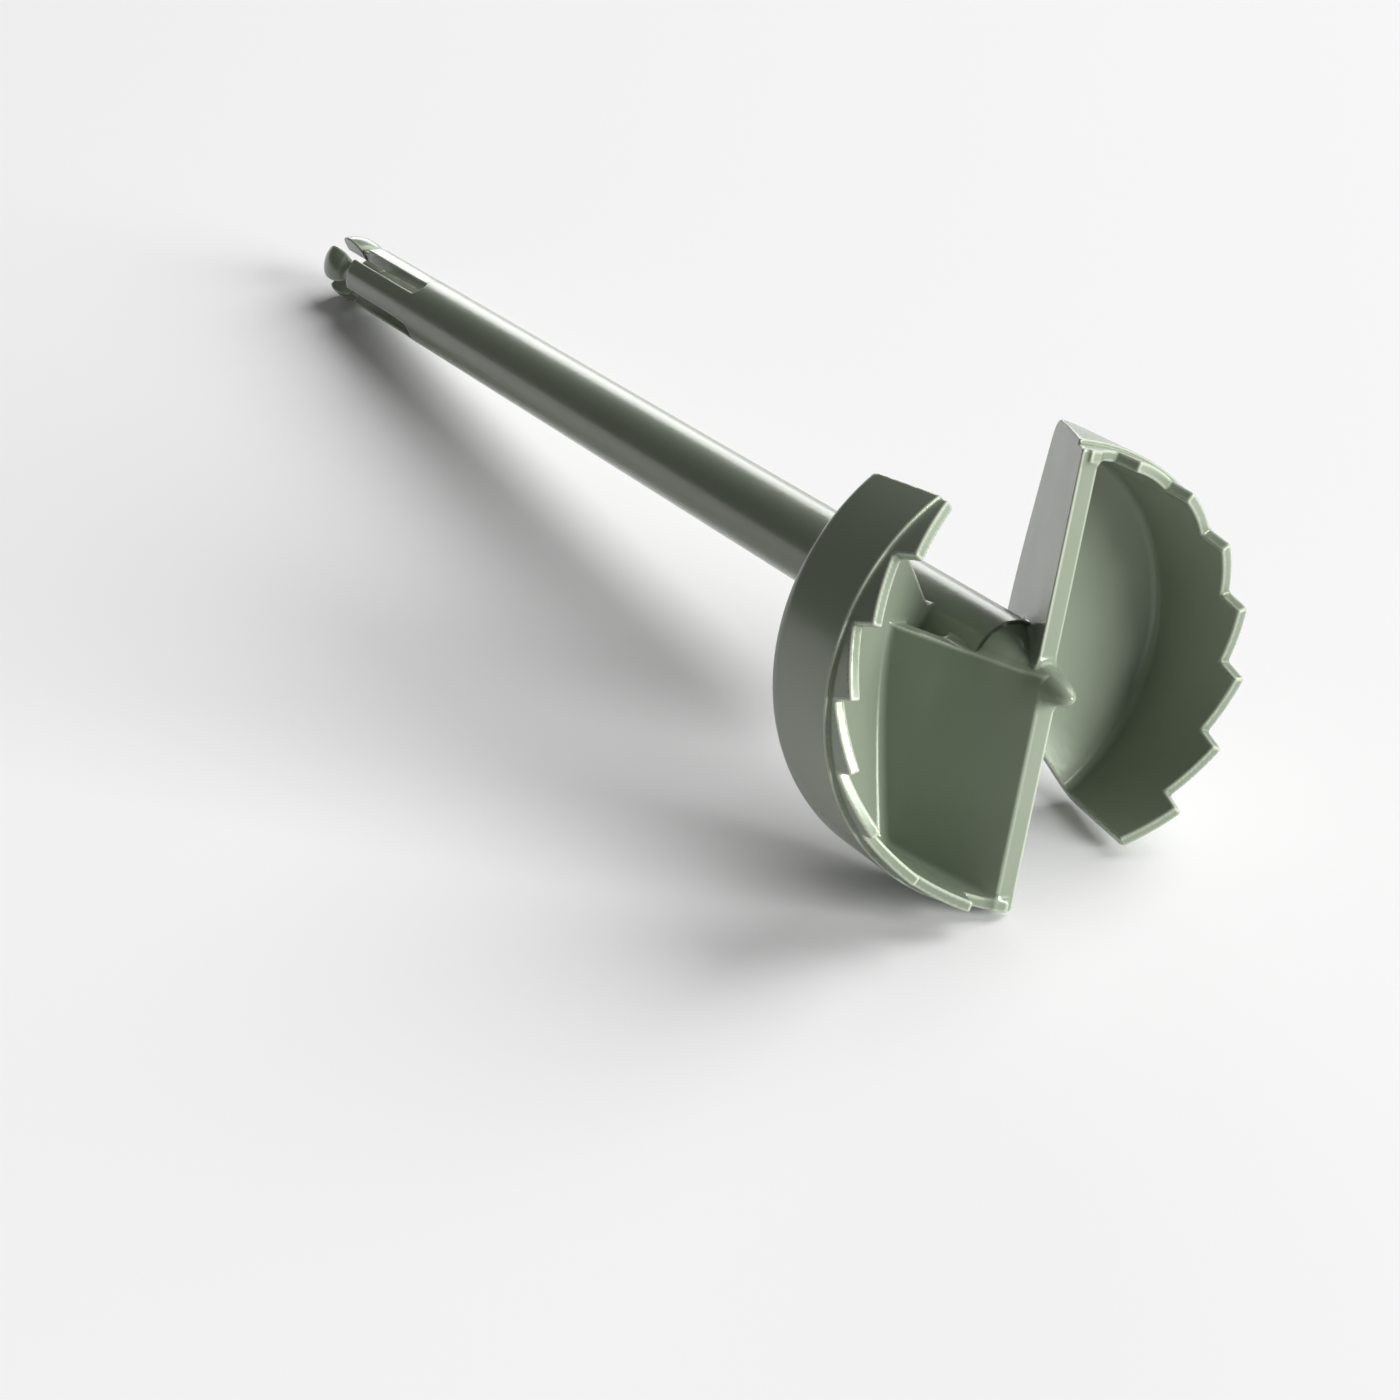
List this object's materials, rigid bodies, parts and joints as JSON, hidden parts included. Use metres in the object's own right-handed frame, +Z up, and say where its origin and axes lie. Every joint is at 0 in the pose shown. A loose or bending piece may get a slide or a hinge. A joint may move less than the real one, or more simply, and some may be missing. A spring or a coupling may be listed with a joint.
{
  "type": "apple hollowing cutter",
  "caption": "Moulded plastic apple coring bit: serrated cups with leaning blades round a long tube, a pointed tip in front and slotted snap fingers at the handle end.",
  "frame": {"origin": "under the middle of the bounding box, on the surface the tool lies on", "axes": "+X from the snap end towards the piercing tip along the tool as it lies, +Z up; the tool rests on a barb, a corner of the trailing cup and the side of the leading blade"},
  "size_m": [0.2232, 0.056, 0.0533],
  "materials": {
    "green_plastic": "glossy moulded, sage green"
  },
  "bodies": {
    "head_and_tube": {"drive_tube": "green_plastic", "trailing_cup": "green_plastic", "leading_cup": "green_plastic", "piercing_tip": "green_plastic"},
    "finger_1": {"snap_finger_1": "green_plastic"},
    "finger_2": {"snap_finger_2": "green_plastic"},
    "finger_3": {"snap_finger_3": "green_plastic"},
    "finger_4": {"snap_finger_4": "green_plastic"}
  },
  "joints": [
    {"name": "finger_1_flex", "type": "hinge", "parent": "head_and_tube", "child": "finger_1", "pos_m": [-0.07495, -0.00387, 0.01046], "axis": [0.09, -0.4376, -0.8947], "range_deg": [0, 2.2], "stiffness_Nm_per_rad": 0.6},
    {"name": "finger_2_flex", "type": "hinge", "parent": "head_and_tube", "child": "finger_2", "pos_m": [-0.07438, -0.00188, 0.00474], "axis": [0.0438, 0.8992, -0.4354], "range_deg": [0, 2.2], "stiffness_Nm_per_rad": 0.6},
    {"name": "finger_3_flex", "type": "hinge", "parent": "head_and_tube", "child": "finger_3", "pos_m": [-0.07458, 0.00387, 0.00672], "axis": [-0.09, 0.4376, 0.8947], "range_deg": [0, 2.2], "stiffness_Nm_per_rad": 0.6},
    {"name": "finger_4_flex", "type": "hinge", "parent": "head_and_tube", "child": "finger_4", "pos_m": [-0.07515, 0.00188, 0.01244], "axis": [-0.0438, -0.8992, 0.4354], "range_deg": [0, 2.2], "stiffness_Nm_per_rad": 0.6}
  ]
}
